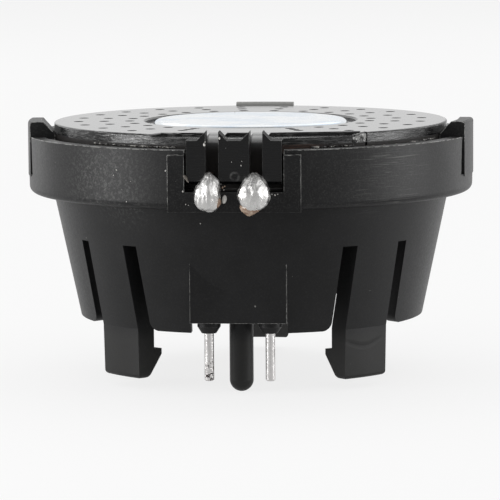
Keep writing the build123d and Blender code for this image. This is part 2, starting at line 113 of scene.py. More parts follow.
world = bpy.data.worlds.new("light_tent")
scene.world = world
world.use_nodes = True
tent = world.node_tree
tent.nodes.clear()
ray = put(tent, "LightPath")
heading = put(tent, "SeparateXYZ", {0: put(tent, "TexCoord").outputs["Generated"]})
open_front = put(tent, "MapRange", {0: heading.outputs["Y"], 1: -1.0, 2: -0.3, 3: 0.3},
                 interpolation_type="SMOOTHSTEP")
open_top = put(tent, "MapRange", {0: heading.outputs["Z"], 1: 0.5, 2: 0.85, 3: 1.0, 4: 0.2},
               interpolation_type="SMOOTHSTEP")
mirrored = put(tent, "Math", {0: open_front, 1: open_top}, operation="MULTIPLY")
lit = put(tent, "Mix", {0: ray.outputs["Is Glossy Ray"], 2: 0.55, 3: mirrored})
seen = put(tent, "Math", {0: ray.outputs["Is Camera Ray"], 1: ray.outputs["Is Transmission Ray"]},
           operation="MAXIMUM")
level = put(tent, "Mix", {0: seen, 2: lit, 3: 1.0})
white = put(tent, "Background", {"Color": linear("#ffffff"), "Strength": level})
put(tent, "OutputWorld", {"Surface": white})


def add_lamp(name, place, width, height, power):
    """A soft box that faces the speaker."""
    lamp = bpy.data.lights.new(name, "AREA")
    lamp.shape = "RECTANGLE"
    lamp.size = width
    lamp.size_y = height
    lamp.energy = power
    box = bpy.data.objects.new(name, lamp)
    box.visible_camera = False
    scene.collection.objects.link(box)
    place = Vector(place)
    box.matrix_world = Matrix.Translation(place) @ (-place).to_track_quat("-Z", "Y").to_matrix().to_4x4()


add_lamp("top_softbox", (-0.04, 0.30, 0.45), 0.80, 0.60, 1.2)
add_lamp("left_low_softbox", (-0.127, -0.058, 0.017), 0.052, 0.046, 0.061)
add_lamp("left_wing_panel", (-0.122, -0.118, 0.045), 0.090, 0.105, 0.030)
add_lamp("right_low_softbox", (0.142, -0.018, 0.017), 0.066, 0.046, 0.057)
add_lamp("right_wing_panel", (0.125, -0.118, 0.045), 0.090, 0.105, 0.010)
add_lamp("left_rear_strip", (-0.120, 0.092, 0.020), 0.024, 0.052, 0.008)
add_lamp("right_rear_strip", (0.115, 0.096, 0.020), 0.024, 0.052, 0.009)

floor_level = cad_box[0][2]
bpy.ops.object.select_all(action="DESELECT")
bpy.ops.mesh.primitive_grid_add(x_subdivisions=4, y_subdivisions=4, size=60, location=(0, 0, floor_level))
table = bpy.context.object
table.name = "table"
paper = bpy.data.materials.new("white_paper")
paper.use_nodes = True
tree = paper.node_tree
tree.nodes.clear()
ray = put(tree, "LightPath")
seen = put(tree, "Math", {0: ray.outputs["Is Camera Ray"], 1: ray.outputs["Is Glossy Ray"]},
           operation="MAXIMUM")
matt = put(tree, "BsdfDiffuse", {"Color": linear("#f0f0f0")})
depth = put(tree, "SeparateXYZ", {0: put(tree, "NewGeometry").outputs["Position"]})
open_front = put(tree, "MapRange", {0: depth.outputs["Y"], 1: -0.06, 2: 0.05, 3: 0.3},
                 interpolation_type="SMOOTHSTEP")
brightness = put(tree, "Mix", {0: ray.outputs["Is Glossy Ray"], 2: 1.0, 3: open_front})
glow = put(tree, "Emission", {"Color": linear("#ffffff"), "Strength": brightness})
share = put(tree, "Math", {0: seen, 1: 0.8}, operation="MULTIPLY")
either = put(tree, "MixShader", {0: share, 1: matt, 2: glow})
put(tree, "OutputMaterial", {"Surface": either})
table.data.materials.append(paper)

# ---------------------------------------------------------------- holder
# The holder is one moulding of black PBT: funnel, ring, snap legs, clips, pin block and peg.
# It left a spark-eroded mould with a satin face, and handling has scuffed it. Its edges are painted pale,
# partly as wear and partly as painted highlights where they catch the light, and a few other pale parts are
# painted light.


def new_material(name):
    """A node material: gives it, its tree, its Principled shader and the place on the piece in mm."""
    material = bpy.data.materials.new(name)
    material.use_nodes = True
    tree = material.node_tree
    tree.nodes.clear()
    shader = put(tree, "BsdfPrincipled")
    put(tree, "OutputMaterial", {"Surface": shader})
    place = put(tree, "TexCoord").outputs["Object"]
    mm = put(tree, "VectorMath", {0: place, 1: (1000, 1000, 1000)}, operation="MULTIPLY")
    return material, tree, shader, mm


def off(tree, value, level):
    """How far a value lies from a level."""
    gap = put(tree, "Math", {0: value, 1: level}, operation="SUBTRACT")
    return put(tree, "Math", {0: gap}, operation="ABSOLUTE")


def azimuth(tree, where):
    """The angle round the speaker in radians, from the front towards the right."""
    ahead = put(tree, "Math", {0: where.outputs["Y"], 1: -1.0}, operation="MULTIPLY")
    return put(tree, "Math", {0: where.outputs["X"], 1: ahead}, operation="ARCTAN2")


def ragged_dust(tree, mm, rag, cells, sizes, bare):
    """Specks of dust with ragged outlines: at most one in a cell, and none in the bare share of cells."""
    rag_scale, rag_depth = rag
    ragged = put(tree, "TexNoise", {"Vector": mm, "Scale": rag_scale, "Detail": 2.0})
    ragged = put(tree, "VectorMath", {0: ragged.outputs["Color"], 1: (rag_depth,) * 3, 2: mm},
                 operation="MULTIPLY_ADD")
    specks = put(tree, "TexVoronoi", {"Vector": ragged, "Scale": cells})
    draw = put(tree, "SeparateColor", {0: specks.outputs["Color"]})
    reach = put(tree, "MapRange", {0: draw.outputs["Green"], 3: sizes[0], 4: sizes[1]})
    speck = put(tree, "MapRange", {0: specks.outputs["Distance"], 1: reach, 2: 0.01})
    chosen = put(tree, "Math", {0: draw.outputs["Red"], 1: bare}, operation="GREATER_THAN")
    return put(tree, "Math", {0: speck, 1: chosen}, operation="MULTIPLY")


def sharp_edges(tree, radius):
    """One along the edges, within a radius in mm, and zero on the faces between them."""
    rounded = put(tree, "Bevel", {"Radius": radius * MM}, samples=8)
    true_normal = put(tree, "NewGeometry").outputs["True Normal"]
    facing = put(tree, "VectorMath", {0: rounded, 1: true_normal}, operation="DOT_PRODUCT")
    return put(tree, "MapRange", {0: facing, 1: 0.985, 2: 0.86})


def dress(piece, material):
    """Gives a piece its material."""
    piece.data.materials.clear()
    piece.data.materials.append(material)


moulded_pbt, tree, shader, mm = new_material("moulded_pbt")
where = put(tree, "SeparateXYZ", {0: mm})
angle = azimuth(tree, where)

# the colour drifts a little, as the melt cooled in broad patches
drift = put(tree, "TexNoise", {"Vector": mm, "Scale": 0.22, "Detail": 5.0, "Roughness": 0.62})
drift = put(tree, "MapRange", {0: drift, 1: 0.3, 2: 0.7})
black = put(tree, "Mix", {0: drift, 6: linear("#0f0f10"), 7: linear("#19191a")}, data_type="RGBA")

# eroded mould face: pits of about 0.05 mm, drawn at 0.2 mm so that they show
pits = put(tree, "TexNoise", {"Vector": mm, "Scale": 5.0, "Detail": 4.0, "Roughness": 0.7})
grain = put(tree, "TexNoise", {"Vector": mm, "Scale": 7.5, "Detail": 5.0, "Roughness": 0.75})
grain = put(tree, "MapRange", {0: grain, 1: 0.50, 2: 0.72})
on_ring = put(tree, "MapRange", {0: where.outputs["Z"], 1: 10.3, 2: 10.9, 3: 0.30, 4: 0.85})
on_legs = put(tree, "MapRange", {0: where.outputs["Z"], 1: -0.3, 2: -3.4, 4: 0.8})
rough_parts = put(tree, "Math", {0: on_ring, 1: on_legs}, operation="MAXIMUM")
grain = put(tree, "Math", {0: grain, 1: rough_parts}, operation="MULTIPLY")
black = put(tree, "Mix", {0: grain, 6: black, 7: linear("#3a3a39")}, data_type="RGBA")

# painted light: the snap legs and the peg are painted a little paler below the board seat, for light thrown
# up from the floor
painted_floor_light = put(tree, "MapRange", {0: where.outputs["Z"], 1: -0.1, 2: -1.0, 4: 0.7})
black = put(tree, "Mix", {0: painted_floor_light, 6: black, 7: linear("#262625")}, data_type="RGBA")

# scuffed patch on the ring's left front, crumbled into specks
scuff_far = put(tree, "VectorMath", {0: mm, 1: (-11.0, -15.7, 12.9)}, operation="DISTANCE")
scuff_near = put(tree, "MapRange", {0: scuff_far, 1: 6.2, 2: 0.6}, interpolation_type="SMOOTHSTEP")
crumbs = put(tree, "TexNoise", {"Vector": mm, "Scale": 3.4, "Detail": 9.0, "Roughness": 0.82})
crumbs = put(tree, "MapRange", {0: crumbs, 1: 0.50, 2: 0.74})
scuff = put(tree, "Math", {0: scuff_near, 1: crumbs}, operation="MULTIPLY")

# fine scratches round the ring's right front: long along the ring, 0.1 mm high
around = put(tree, "Math", {0: angle, 1: 7.0}, operation="MULTIPLY")
level = put(tree, "Math", {0: where.outputs["Z"], 1: 13.0}, operation="MULTIPLY")
line_place = put(tree, "CombineXYZ", {0: around, 1: level})
lines = put(tree, "TexNoise", {"Vector": line_place, "Scale": 0.9, "Detail": 5.0, "Roughness": 0.6,
                               "Distortion": 0.9})
lines = put(tree, "MapRange", {0: lines, 1: 0.56, 2: 0.70})
scratch_far = put(tree, "VectorMath", {0: mm, 1: (12.6, -14.4, 13.1)}, operation="DISTANCE")
scratch_near = put(tree, "MapRange", {0: scratch_far, 1: 5.4, 2: 1.6}, interpolation_type="SMOOTHSTEP")
scratch = put(tree, "Math", {0: scratch_near, 1: lines}, operation="MULTIPLY")

# one longer scratch above them, 3 mm long
long_fall = put(tree, "Math", {0: angle, 1: 0.45, 2: 14.25}, operation="MULTIPLY_ADD")
long_line = put(tree, "MapRange", {0: off(tree, where.outputs["Z"], long_fall), 1: 0.06, 2: 0.02})
long_end = put(tree, "MapRange", {0: off(tree, angle, 0.785), 1: 0.11, 2: 0.04, 4: 0.8})
long_scratch = put(tree, "Math", {0: long_line, 1: long_end}, operation="MULTIPLY")
scratch = put(tree, "Math", {0: scratch, 1: long_scratch}, operation="MAXIMUM")

# dust: a pale ragged speck of at most 0.15 mm in about one of nine cells
dust = ragged_dust(tree, mm, rag=(7.0, 0.22), cells=1.3, sizes=(0.02, 0.10), bare=0.89)

# edges of the pad, the notch, the pin block and the ring's top, painted pale: partly wear, partly painted
# highlights where the rounded edges catch the light
edge = sharp_edges(tree, 0.09)
rubbed = put(tree, "TexNoise", {"Vector": mm, "Scale": 2.4, "Detail": 7.0, "Roughness": 0.75})
on_rim = put(tree, "MapRange", {0: where.outputs["Z"], 1: 15.0, 2: 15.4})
rub_from = put(tree, "MapRange", {0: on_rim, 3: 0.38, 4: 0.47})
rub_to = put(tree, "MapRange", {0: on_rim, 3: 0.62, 4: 0.56})
rubbed = put(tree, "MapRange", {0: rubbed, 1: rub_from, 2: rub_to})
front = put(tree, "MapRange", {0: where.outputs["Y"], 1: -14.2, 2: -15.0})
middle = put(tree, "MapRange", {0: off(tree, where.outputs["X"], 0.0), 1: 6.4, 2: 5.6})
high = put(tree, "MapRange", {0: where.outputs["Z"], 1: 0.3, 2: 0.8})
pad_foot = put(tree, "MapRange", {0: off(tree, where.outputs["Z"], 10.7), 1: 0.35, 2: 0.9, 3: 0.12})
pad_side = put(tree, "MapRange", {0: where.outputs["X"], 1: -5.1, 2: -5.5, 3: 1.0, 4: 2.4})
notch_floor = put(tree, "MapRange", {0: off(tree, where.outputs["Z"], 12.05), 1: 0.12, 2: 0.30, 3: 0.35})
zone = front
for share in (middle, high, pad_foot, pad_side, notch_floor):
    zone = put(tree, "Math", {0: zone, 1: share}, operation="MULTIPLY")
rim = put(tree, "MapRange", {0: on_rim, 4: 2.2})
pale_edge_parts = put(tree, "Math", {0: zone, 1: rim}, operation="MAXIMUM")
worn_and_highlit_edges = put(tree, "Math", {0: edge, 1: rubbed}, operation="MULTIPLY")
worn_and_highlit_edges = put(tree, "Math", {0: worn_and_highlit_edges, 1: pale_edge_parts}, operation="MULTIPLY")

# painted reflection: the top of the rear clip's hook is painted grey, for the white backdrop that it mirrors
# at a grazing angle
behind = put(tree, "MapRange", {0: where.outputs["Y"], 1: 15.0, 2: 15.6})
painted_hook_sheen = put(tree, "MapRange", {0: where.outputs["Z"], 1: 16.45, 2: 16.65, 4: 0.9})
painted_hook_sheen = put(tree, "Math", {0: painted_hook_sheen, 1: behind}, operation="MULTIPLY")
black = put(tree, "Mix", {0: painted_hook_sheen, 6: black, 7: linear("#a3a3a0")}, data_type="RGBA")

# a thumbnail has left an arc across the right leg's outer face
arc_far = put(tree, "VectorMath", {0: mm, 1: (10.17, -10.60, 1.51)}, operation="DISTANCE")
arc = put(tree, "MapRange", {0: off(tree, arc_far, 3.00), 1: 0.34, 2: 0.02, 4: 0.7})
arc_low = put(tree, "MapRange", {0: where.outputs["Z"], 1: -0.8, 2: -1.15})
arc = put(tree, "Math", {0: arc, 1: arc_low}, operation="MULTIPLY")
black = put(tree, "Mix", {0: arc, 6: black, 7: linear("#050505")}, data_type="RGBA")

colour = put(tree, "Mix", {0: scuff, 6: black, 7: linear("#757573")}, data_type="RGBA")
colour = put(tree, "Mix", {0: scratch, 6: colour, 7: linear("#565654")}, data_type="RGBA")
colour = put(tree, "Mix", {0: dust, 6: colour, 7: linear("#a3a29d")}, data_type="RGBA")
# pale edges: partly wear, partly painted highlights
colour = put(tree, "Mix", {0: worn_and_highlit_edges, 6: colour, 7: linear("#b4b4b1")}, data_type="RGBA")
satin = put(tree, "MapRange", {0: pits, 1: 0.3, 2: 0.7, 3: 0.36, 4: 0.50})
relief = put(tree, "Math", {0: pits, 1: scuff}, operation="ADD")
bump = put(tree, "Bump", {"Strength": 0.25, "Distance": 0.02 * MM, "Height": relief})
bump = put(tree, "Bump", {"Strength": 0.6, "Distance": -0.03 * MM, "Height": arc, "Normal": bump})
fill(tree, shader, {"Base Color": colour, "Roughness": satin, "Normal": bump, "Specular IOR Level": 0.30})
dress(nodes["holder"], moulded_pbt)

# ---------------------------------------------------------------- capsule frame and front ring
# The capsule's frame and front ring are moulded from ABS in a polished mould, so they are much
# glossier than the holder. The wall is streaked by handling, its left front carries a painted highlight in
# pale streaks, and the terminal wall is duller.
moulded_abs, tree, shader, mm = new_material("moulded_abs")
where = put(tree, "SeparateXYZ", {0: mm})
angle = azimuth(tree, where)
upward = put(tree, "SeparateXYZ", {0: put(tree, "NewGeometry").outputs["True Normal"]})
flat_top = put(tree, "MapRange", {0: upward.outputs["Z"], 1: 0.85, 2: 0.97})

# drag marks along the wall, about 0.1 mm high
around = put(tree, "Math", {0: angle, 1: 14.0}, operation="MULTIPLY")
level = put(tree, "Math", {0: where.outputs["Z"], 1: 8.0}, operation="MULTIPLY")
line_place = put(tree, "CombineXYZ", {0: around, 1: level})
drag = put(tree, "TexNoise", {"Vector": line_place, "Scale": 1.0, "Detail": 6.0, "Roughness": 0.68,
                              "Distortion": 0.5})
wavy = put(tree, "MapRange", {0: flat_top, 3: 1.0, 4: 0.05})
wavy = put(tree, "Math", {0: drag, 1: wavy}, operation="MULTIPLY")

# flux has stained the wall's foot beside the terminal wall
stain_far = put(tree, "VectorMath", {0: mm, 1: (5.3, -16.3, 15.5)}, operation="DISTANCE")
stain_near = put(tree, "MapRange", {0: stain_far, 1: 2.7, 2: 0.6}, interpolation_type="SMOOTHSTEP")
low = put(tree, "MapRange", {0: where.outputs["Z"], 1: 15.86, 2: 15.74})
patchy = put(tree, "MapRange", {0: drag, 1: 0.40, 2: 0.62})
stain = put(tree, "Math", {0: stain_near, 1: low}, operation="MULTIPLY")
stain = put(tree, "Math", {0: stain, 1: patchy}, operation="MULTIPLY")

# dust on the terminal wall, and its edges painted pale, partly as wear and partly as painted highlights
# where they catch the light
dust = ragged_dust(tree, mm, rag=(8.0, 0.18), cells=1.9, sizes=(0.03, 0.15), bare=0.84)
edge = sharp_edges(tree, 0.07)
front = put(tree, "MapRange", {0: where.outputs["Y"], 1: -16.6, 2: -17.0})
high = put(tree, "MapRange", {0: where.outputs["Z"], 1: 15.9, 2: 16.2, 3: 0.25})
rubbed = put(tree, "TexNoise", {"Vector": mm, "Scale": 2.4, "Detail": 7.0, "Roughness": 0.75})
rubbed = put(tree, "MapRange", {0: rubbed, 1: 0.42, 2: 0.64, 3: 0.1, 4: 0.9})
worn_and_highlit_edges = edge
for share in (front, high, rubbed):
    worn_and_highlit_edges = put(tree, "Math", {0: worn_and_highlit_edges, 1: share}, operation="MULTIPLY")
wall_dust = put(tree, "Math", {0: dust, 1: front}, operation="MULTIPLY")
pale = put(tree, "Math", {0: worn_and_highlit_edges, 1: wall_dust}, operation="MAXIMUM")

# round ejector mark in the terminal wall's face, 0.7 mm across
face_place = put(tree, "CombineXYZ", {0: where.outputs["X"], 1: where.outputs["Z"]})
mark_far = put(tree, "VectorMath", {0: face_place, 1: (0.08, 13.42, 0.0)}, operation="DISTANCE")
mark_line = put(tree, "MapRange", {0: off(tree, mark_far, 0.33), 1: 0.13, 2: 0.02})
mark = put(tree, "Math", {0: mark_line, 1: front}, operation="MULTIPLY")
mark = put(tree, "Math", {0: mark, 1: rubbed}, operation="MULTIPLY")
mark_pale = put(tree, "Math", {0: mark, 1: 0.22}, operation="MULTIPLY")
pale = put(tree, "Math", {0: pale, 1: mark_pale}, operation="MAXIMUM")

# dried glue dulls the foot of the round wall
flat_place = put(tree, "CombineXYZ", {0: where.outputs["X"], 1: where.outputs["Y"]})
radius = put(tree, "VectorMath", {0: flat_place}, operation="LENGTH")
on_wall = put(tree, "Math", {0: radius, 1: 18.2}, operation="LESS_THAN")
wall_foot = put(tree, "MapRange", {0: where.outputs["Z"], 1: 15.80, 2: 15.70})
wall_foot = put(tree, "Math", {0: wall_foot, 1: on_wall}, operation="MULTIPLY")

# painted highlight: the round wall above it is painted pale in streaks on its left front, where it mirrors
# the left soft box
steep = put(tree, "MapRange", {0: flat_top, 3: 1.0, 4: 0.0})
highlight_streaks = put(tree, "MapRange", {0: drag, 1: 0.50, 2: 0.66, 4: 0.9})
above_foot = put(tree, "MapRange", {0: where.outputs["Z"], 1: 15.72, 2: 15.82})
round_part = put(tree, "MapRange", {0: radius, 1: 17.0, 2: 16.95})
highlight_side = put(tree, "MapRange", {0: off(tree, angle, -0.5), 1: 0.15, 2: 0.5, 3: 1.0, 4: 0.3})
painted_wall_highlight = highlight_streaks
for share in (steep, above_foot, round_part, highlight_side):
    painted_wall_highlight = put(tree, "Math", {0: painted_wall_highlight, 1: share}, operation="MULTIPLY")

# the grooves and the terminal wall's top were left rough by the mould
beside = off(tree, off(tree, where.outputs["X"], 0.0), 1.8)
groove = put(tree, "MapRange", {0: beside, 1: 0.56, 2: 0.50})
proud = put(tree, "MapRange", {0: upward.outputs["Z"], 1: 0.2, 2: 0.4})
coarse = put(tree, "Math", {0: groove, 1: proud}, operation="MAXIMUM")
coarse = put(tree, "Math", {0: coarse, 1: front}, operation="MULTIPLY")

colour = put(tree, "Mix", {0: wall_foot, 6: linear("#0b0b0c"), 7: linear("#130e0b")}, data_type="RGBA")
colour = put(tree, "Mix", {0: stain, 6: colour, 7: linear("#4a2e20")}, data_type="RGBA")
colour = put(tree, "Mix", {0: painted_wall_highlight, 6: colour, 7: linear("#a6a6a5")}, data_type="RGBA")
colour = put(tree, "Mix", {0: pale, 6: colour, 7: linear("#b9b9b7")}, data_type="RGBA")
gloss = put(tree, "MapRange", {0: flat_top, 3: 0.14, 4: 0.13})
gloss = put(tree, "Mix", {0: wall_foot, 2: gloss, 3: 0.6})
gloss = put(tree, "Mix", {0: coarse, 2: gloss, 3: 0.75})
waves = put(tree, "Bump", {"Strength": 0.7, "Distance": 0.04 * MM, "Height": wavy})
bump = put(tree, "Bump", {"Strength": 0.8, "Distance": 0.05 * MM, "Height": mark, "Normal": waves})
fill(tree, shader, {"Base Color": colour, "Roughness": gloss, "Normal": bump})
dress(nodes["capsule_frame"], moulded_abs)
dress(nodes["front_ring"], moulded_abs)

# ---------------------------------------------------------------- magnet pot
# The pot and the pole plate are deep-drawn steel with bright bluish zinc on them, and the magnet
# between them is sintered and nickel plated.
zinc_plate, tree, shader, mm = new_material("bright_zinc_plate")
tint = put(tree, "TexNoise", {"Vector": mm, "Scale": 0.28, "Detail": 2.0})
tint = put(tree, "MapRange", {0: tint, 1: 0.42, 2: 0.62})
colour = put(tree, "Mix", {0: tint, 6: linear("#dce0e3"), 7: linear("#c6d2de")}, data_type="RGBA")
rolled = put(tree, "TexNoise", {"Vector": mm, "Scale": 2.5, "Detail": 5.0, "Roughness": 0.6})
gloss = put(tree, "MapRange", {0: rolled, 1: 0.3, 2: 0.7, 3: 0.14, 4: 0.26})
bump = put(tree, "Bump", {"Strength": 0.12, "Distance": 0.02 * MM, "Height": rolled})
fill(tree, shader, {"Base Color": colour, "Metallic": 1.0, "Roughness": gloss, "Normal": bump})
dress(nodes["yoke_cup"], zinc_plate)
dress(nodes["pole_plate"], zinc_plate)

nickel_magnet, tree, shader, mm = new_material("nickel_plated_magnet")
grains = put(tree, "TexNoise", {"Vector": mm, "Scale": 4.0, "Detail": 6.0, "Roughness": 0.7})
colour = put(tree, "Mix", {0: grains, 6: linear("#8f8f8c"), 7: linear("#c9c7c2")}, data_type="RGBA")
gloss = put(tree, "MapRange", {0: grains, 3: 0.25, 4: 0.45})
fill(tree, shader, {"Base Color": colour, "Metallic": 1.0, "Roughness": gloss})
dress(nodes["magnet"], nickel_magnet)

# ---------------------------------------------------------------- voice coil and leads
# The coil is wound from enamelled copper wire of 0.08 mm and baked into a ring, so it is ribbed
# and glossy. The leads are thicker wire of the same kind.
wound_copper, tree, shader, mm = new_material("enamelled_copper")
where = put(tree, "SeparateXYZ", {0: mm})
# turns drawn 0.15 mm apart so that they show
turns = put(tree, "Math", {0: where.outputs["Z"], 1: 2 * math.pi / 0.15}, operation="MULTIPLY")
turns = put(tree, "Math", {0: turns}, operation="SINE")
enamel = put(tree, "TexNoise", {"Vector": mm, "Scale": 1.2, "Detail": 4.0})
colour = put(tree, "Mix", {0: enamel, 6: linear("#8a3d1c"), 7: linear("#c97a48")}, data_type="RGBA")
bump = put(tree, "Bump", {"Strength": 0.6, "Distance": 0.03 * MM, "Height": turns})
fill(tree, shader, {"Base Color": colour, "Metallic": 1.0, "Roughness": 0.28, "Normal": bump})
dress(nodes["voice_coil"], wound_copper)
dress(nodes["coil_lead_left"], wound_copper)
dress(nodes["coil_lead_right"], wound_copper)

# ---------------------------------------------------------------- film
# The diaphragm is pressed from clear polyester film. Its roll has slanting corrugations, and the
# rim is painted black as painted shade, for the dark gap between frame and front ring that holds it.
film, tree, shader, mm = new_material("pressed_polyester_film")
where = put(tree, "SeparateXYZ", {0: mm})
angle = put(tree, "Math", {0: where.outputs["X"], 1: where.outputs["Y"]}, operation="ARCTAN2")
flat_place = put(tree, "CombineXYZ", {0: where.outputs["X"], 1: where.outputs["Y"]})
radius = put(tree, "VectorMath", {0: flat_place}, operation="LENGTH")
painted_dark_rim = put(tree, "MapRange", {0: radius, 1: 15.9, 2: 16.1})
roll = put(tree, "MapRange", {0: radius, 1: 8.4, 2: 9.2})
slant = put(tree, "Math", {0: radius, 1: 0.16}, operation="MULTIPLY")
slant = put(tree, "Math", {0: angle, 1: slant}, operation="ADD")
folds = put(tree, "Math", {0: slant, 1: 48.0}, operation="MULTIPLY")
folds = put(tree, "Math", {0: folds}, operation="SINE")
folds = put(tree, "Math", {0: folds, 1: roll}, operation="MULTIPLY")
haze = put(tree, "TexNoise", {"Vector": mm, "Scale": 0.8, "Detail": 4.0})
colour = put(tree, "Mix", {0: haze, 6: linear("#b5a98c"), 7: linear("#cfc6ae")}, data_type="RGBA")
# painted shade: the rim, in the gap between frame and front ring, is painted black
colour = put(tree, "Mix", {0: painted_dark_rim, 6: colour, 7: linear("#141312")}, data_type="RGBA")
bump = put(tree, "Bump", {"Strength": 0.8, "Distance": 0.08 * MM, "Height": folds})
fill(tree, shader, {"Base Color": colour, "Roughness": 0.22, "Normal": bump})
# The film's mid-surface: a dome that hangs down inside the coil, the land under the coil, the roll
# and the rim. The inner part moves with the coil, and the outer half of the roll lies between
# the coil's body and the clamped rim.
film_middle = 12.35
coil_radius = 6.7
dome_depth = 1.4
film_depth = 0.1
dome_ball = (coil_radius ** 2 + dome_depth ** 2) / (2 * dome_depth)
roll_crest = 12.3
roll_width = 3.7
roll_rise = 0.5
roll_ball = (roll_width ** 2 + roll_rise ** 2) / (2 * roll_rise)


def roll_ring(radius):
    """The roll's height at a radius, and the radius, all in mm."""
    height = film_middle + roll_rise - roll_ball + math.sqrt(roll_ball ** 2 - (radius - roll_crest) ** 2)
    return height, radius


def thicken(piece, depth):
    """Gives a bare surface a depth in mm, half to each side."""
    sheet = piece.modifiers.new("thickness", "SOLIDIFY")
    sheet.thickness = depth * MM
    sheet.offset = 0.0
    bpy.ops.object.modifier_apply(modifier="thickness")


def turn_film(name, rings, open_centre):
    """A round film through rings of (height, radius) in mm, grown from the first to the last."""
    bpy.ops.object.select_all(action="DESELECT")
    height, radius = rings[0]
    bpy.ops.mesh.primitive_circle_add(
        vertices=144, radius=radius * MM, fill_type="NGON", location=(0, 0, height * MM)
    )
    piece = bpy.context.object
    piece.name = name
    bpy.ops.object.mode_set(mode="EDIT")
    bpy.ops.mesh.select_mode(type="FACE")
    bpy.ops.mesh.select_all(action="SELECT")
    for next_height, next_radius in rings[1:]:
        rise = (next_height - height) * MM
        bpy.ops.mesh.extrude_region_move(TRANSFORM_OT_translate={"value": (0, 0, rise)})
        growth = next_radius / radius
        bpy.ops.transform.resize(value=(growth, growth, 1), center_override=(0, 0, next_height * MM))
        height, radius = next_height, next_radius
    if open_centre:
        bpy.ops.mesh.select_face_by_sides(number=4, type="GREATER", extend=True)
    bpy.ops.mesh.delete(type="ONLY_FACE")
    bpy.ops.mesh.select_mode(type="VERT")
    bpy.ops.mesh.select_all(action="SELECT")
    bpy.ops.mesh.normals_make_consistent(inside=False)
    bpy.ops.object.mode_set(mode="OBJECT")
    bpy.ops.object.transform_apply(location=True, rotation=True, scale=True)
    thicken(piece, film_depth)
    bpy.ops.object.shade_smooth_by_angle(angle=math.radians(40))
    return piece


dome_rings = []
for step in range(1, 13):
    radius = coil_radius * step / 12
    height = film_middle - dome_depth + dome_ball - math.sqrt(dome_ball ** 2 - radius ** 2)
    dome_rings.append((height, radius))
inner_roll = [roll_ring(roll_crest - roll_width * step / 8) for step in range(8, -1, -1)]
outer_roll = [roll_ring(roll_crest + roll_width * step / 8) for step in range(8, -1, -1)]
film_inside = turn_film("film_inside", dome_rings + inner_roll, False)
film_outside = turn_film("film_outside", [(film_middle, 18.0)] + outer_roll, True)
for piece in (film_inside, film_outside):
    dress(piece, film)
    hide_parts("diaphragm")
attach(film_inside, "moving_system")
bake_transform(film_outside)

# ---------------------------------------------------------------- damping cloth
# Black cloth is glued under the back plate's holes to damp the capsule. It is woven from fine
# matt threads, so the holes look dark but not empty.
cloth, tree, shader, mm = new_material("woven_damping_cloth")
where = put(tree, "SeparateXYZ", {0: mm})
# threads of 0.1 mm, drawn 0.3 mm apart so that they show
warp = put(tree, "Math", {0: where.outputs["X"], 1: 2 * math.pi / 0.3}, operation="MULTIPLY")
warp = put(tree, "Math", {0: warp}, operation="SINE")
weft = put(tree, "Math", {0: where.outputs["Y"], 1: 2 * math.pi / 0.3}, operation="MULTIPLY")
weft = put(tree, "Math", {0: weft}, operation="SINE")
weave = put(tree, "Math", {0: warp, 1: weft}, operation="MULTIPLY")
shade = put(tree, "MapRange", {0: weave, 1: -1.0})
colour = put(tree, "Mix", {0: shade, 6: linear("#101010"), 7: linear("#303030")}, data_type="RGBA")
bump = put(tree, "Bump", {"Strength": 0.8, "Distance": 0.05 * MM, "Height": weave})
fill(tree, shader, {"Base Color": colour, "Roughness": 0.9, "Normal": bump})
# a disc with a hole for the pot, cut straight at the front; the glue holds it a little uneven
cloth_low, cloth_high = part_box("damping_cloth")
cloth_radius = cloth_high[0]
cloth_bore = min(math.hypot(vertex.co.x, vertex.co.y) for vertex in nodes["damping_cloth"].data.vertices)
bpy.ops.object.select_all(action="DESELECT")
bpy.ops.mesh.primitive_circle_add(
    vertices=96, radius=cloth_radius, fill_type="NGON", location=(0, 0, (cloth_low[2] + cloth_high[2]) / 2)
)
disc = bpy.context.object
disc.name = "damping_cloth_disc"
bpy.ops.object.mode_set(mode="EDIT")
bpy.ops.mesh.select_all(action="SELECT")
bpy.ops.mesh.inset(thickness=cloth_radius - cloth_bore)
bpy.ops.mesh.delete(type="FACE")
bpy.ops.mesh.select_all(action="SELECT")
bpy.ops.mesh.subdivide(number_cuts=4)
bpy.ops.mesh.select_all(action="SELECT")
bpy.ops.mesh.bisect(plane_co=(0, cloth_low[1], 0), plane_no=(0, 1, 0), clear_inner=True,
                    threshold=0.001 * MM)
bpy.ops.object.mode_set(mode="OBJECT")
bpy.ops.object.transform_apply(location=True, rotation=True, scale=True)
unevenness = bpy.data.textures.new("cloth_unevenness", "CLOUDS")
unevenness.noise_scale = 2.5 * MM
waves = disc.modifiers.new("waves", "DISPLACE")
waves.texture = unevenness
waves.strength = 0.05 * MM
bpy.ops.object.modifier_apply(modifier="waves")
thicken(disc, 0.18)
dress(disc, cloth)
flat_cut = -cloth_low[1]
cut_off = cloth_radius ** 2 * math.acos(flat_cut / cloth_radius)
cut_off -= flat_cut * math.sqrt(cloth_radius ** 2 - flat_cut ** 2)
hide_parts("damping_cloth")
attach(disc, "speaker_body")

